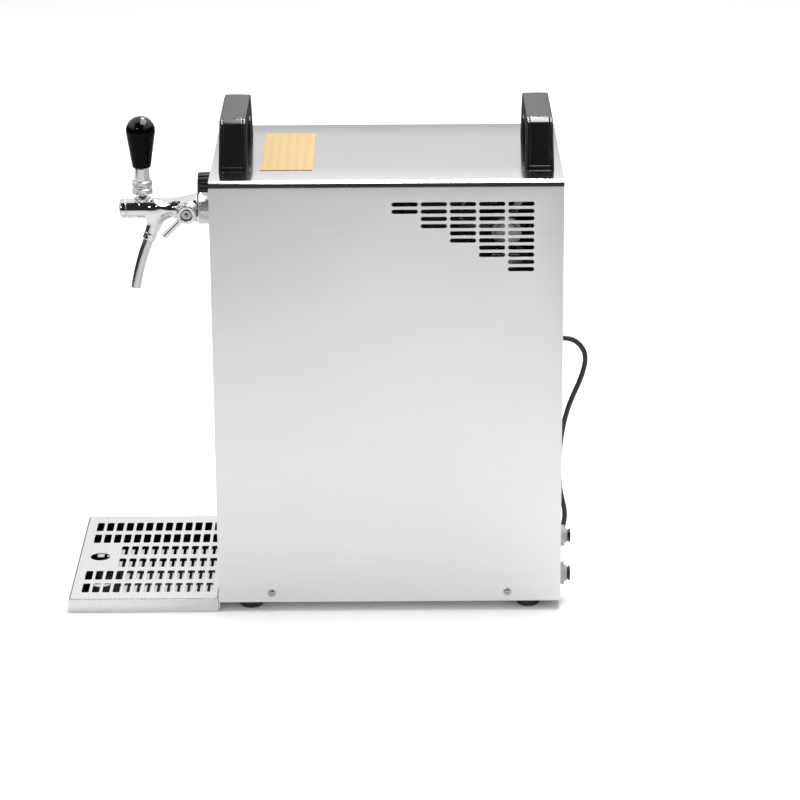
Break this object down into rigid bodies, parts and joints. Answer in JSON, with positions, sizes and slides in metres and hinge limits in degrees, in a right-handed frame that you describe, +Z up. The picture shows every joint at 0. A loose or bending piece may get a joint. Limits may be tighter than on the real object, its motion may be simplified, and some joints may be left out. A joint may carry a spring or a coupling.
{
  "type": "drink cooler",
  "caption": "Counter-top drink cooler: bent steel cabinet with carrying handles, lever tap with flow control, thermostat dial and a loose slotted drip tray.",
  "frame": {"origin": "middle of the footprint on the floor, drip tray and rear fittings included, mains cord left out", "axes": "+X to the side with the rear fittings, which is the side seen in the picture; the tap and tray face -Y; +Z is up"},
  "size_m": [0.3771, 0.6133, 0.575],
  "materials": {
    "satin_steel": "satin",
    "rubber": "matte",
    "screw_steel": "bright",
    "black_plastic": "gloss",
    "veneer": "satin",
    "grey_plastic": "satin",
    "tap_chrome": "polished",
    "spout_steel": "polished",
    "dark_plastic": "satin",
    "cord_rubber": "satin",
    "pin_nickel": "nickel plated",
    "tray_steel": "bright satin",
    "compressor_paint": "satin black",
    "fin_aluminium": "mill finish",
    "copper": "bare copper",
    "galvanised": "galvanised",
    "foam": "foam",
    "hose": "translucent"
  },
  "bodies": {
    "cabinet": {"cover_shell": "satin_steel", "front_panel": "satin_steel", "rear_panel": "satin_steel", "base_pan": "satin_steel", "feet": "rubber", "foot_bolts": "screw_steel", "case_screws": "screw_steel", "handle_front": "black_plastic", "handle_rear": "black_plastic", "handle_caps": "black_plastic", "handle_screws": "screw_steel", "veneer_plate": "veneer", "thermostat_body": "grey_plastic", "tap_shank": "tap_chrome", "shank_nut": "screw_steel", "coupling_nut": "tap_chrome", "tap_body": "tap_chrome", "tap_cap": "tap_chrome", "tap_spout": "spout_steel", "lever_pin": "screw_steel", "drink_inlet": "grey_plastic", "air_outlet": "grey_plastic", "fitting_nuts": "grey_plastic", "cord_gland": "dark_plastic", "power_cord": "cord_rubber", "cord_coil": "cord_rubber", "cord_tail": "cord_rubber", "cord_tie": "dark_plastic", "mains_plug": "dark_plastic", "plug_pins": "pin_nickel", "compressor": "compressor_paint", "compressor_grommets": "rubber", "condenser_fins": "fin_aluminium", "condenser_coil": "copper", "fan_shroud": "galvanised", "fan_motor": "galvanised", "insulation": "foam", "insulation_lid": "foam", "cooler_block": "fin_aluminium", "air_pump": "grey_plastic", "hoses": "hose", "refrigerant_lines": "copper", "terminal_box": "dark_plastic"},
    "tap_lever": {"lever_stem": "screw_steel", "lever_collar": "tap_chrome", "lever_lock_nut": "tap_chrome", "lever_ferrule": "tap_chrome", "tap_knob": "black_plastic"},
    "valve": {"valve_plunger": "screw_steel"},
    "flow_control": {"control_spindle": "screw_steel", "control_lever": "tap_chrome"},
    "flow_cone": {"control_cone": "dark_plastic"},
    "thermostat_dial": {"thermostat_knob": "black_plastic", "thermostat_shaft": "screw_steel"},
    "fan": {"fan_blade": "dark_plastic"},
    "tray": {"drip_tray": "tray_steel"},
    "grate": {"drip_grate": "tray_steel"},
    "inlet_collet": {"drink_inlet_collet": "dark_plastic"},
    "outlet_collet": {"air_outlet_collet": "dark_plastic"}
  },
  "joints": [
    {"name": "tap_lever_pull", "type": "hinge", "parent": "cabinet", "child": "tap_lever", "pos_m": [0, -0.203, 0.462], "axis": [1, 0, 0], "range_deg": [0, 25]},
    {"name": "valve_slide", "type": "slide", "parent": "cabinet", "child": "valve", "axis": [0, 1, 0], "range_m": [0, 0.004]},
    {"name": "flow_control_turn", "type": "hinge", "parent": "cabinet", "child": "flow_control", "pos_m": [0.022, -0.1506, 0.453], "axis": [1, 0, 0], "range_deg": [-45, 45]},
    {"name": "flow_cone_slide", "type": "slide", "parent": "cabinet", "child": "flow_cone", "axis": [0, 1, 0], "range_m": [-0.0016, 0.0016]},
    {"name": "thermostat_turn", "type": "hinge", "parent": "cabinet", "child": "thermostat_dial", "pos_m": [-0.092, -0.118, 0.453], "axis": [0, -1, 0], "range_deg": [-270, 0]},
    {"name": "fan_spin", "type": "hinge", "parent": "cabinet", "child": "fan", "pos_m": [0.05, 0.219, 0.446], "axis": [1, 0, 0], "continuous": true},
    {"name": "tray_slide", "type": "slide", "parent": "cabinet", "child": "tray", "axis": [0, -1, 0], "range_m": [0, 0.15]},
    {"name": "grate_lift", "type": "slide", "parent": "tray", "child": "grate", "axis": [0, 0, 1], "range_m": [0, 0.06]},
    {"name": "inlet_collet_push", "type": "slide", "parent": "cabinet", "child": "inlet_collet", "axis": [0, 1, 0], "range_m": [-0.0015, 0]},
    {"name": "outlet_collet_push", "type": "slide", "parent": "cabinet", "child": "outlet_collet", "axis": [0, 1, 0], "range_m": [-0.0015, 0]}
  ],
  "couplings": [
    {"joint": "valve_slide", "follows": "tap_lever_pull", "m_per_rad": 0.009},
    {"joint": "flow_cone_slide", "follows": "flow_control_turn", "m_per_rad": -0.002}
  ]
}
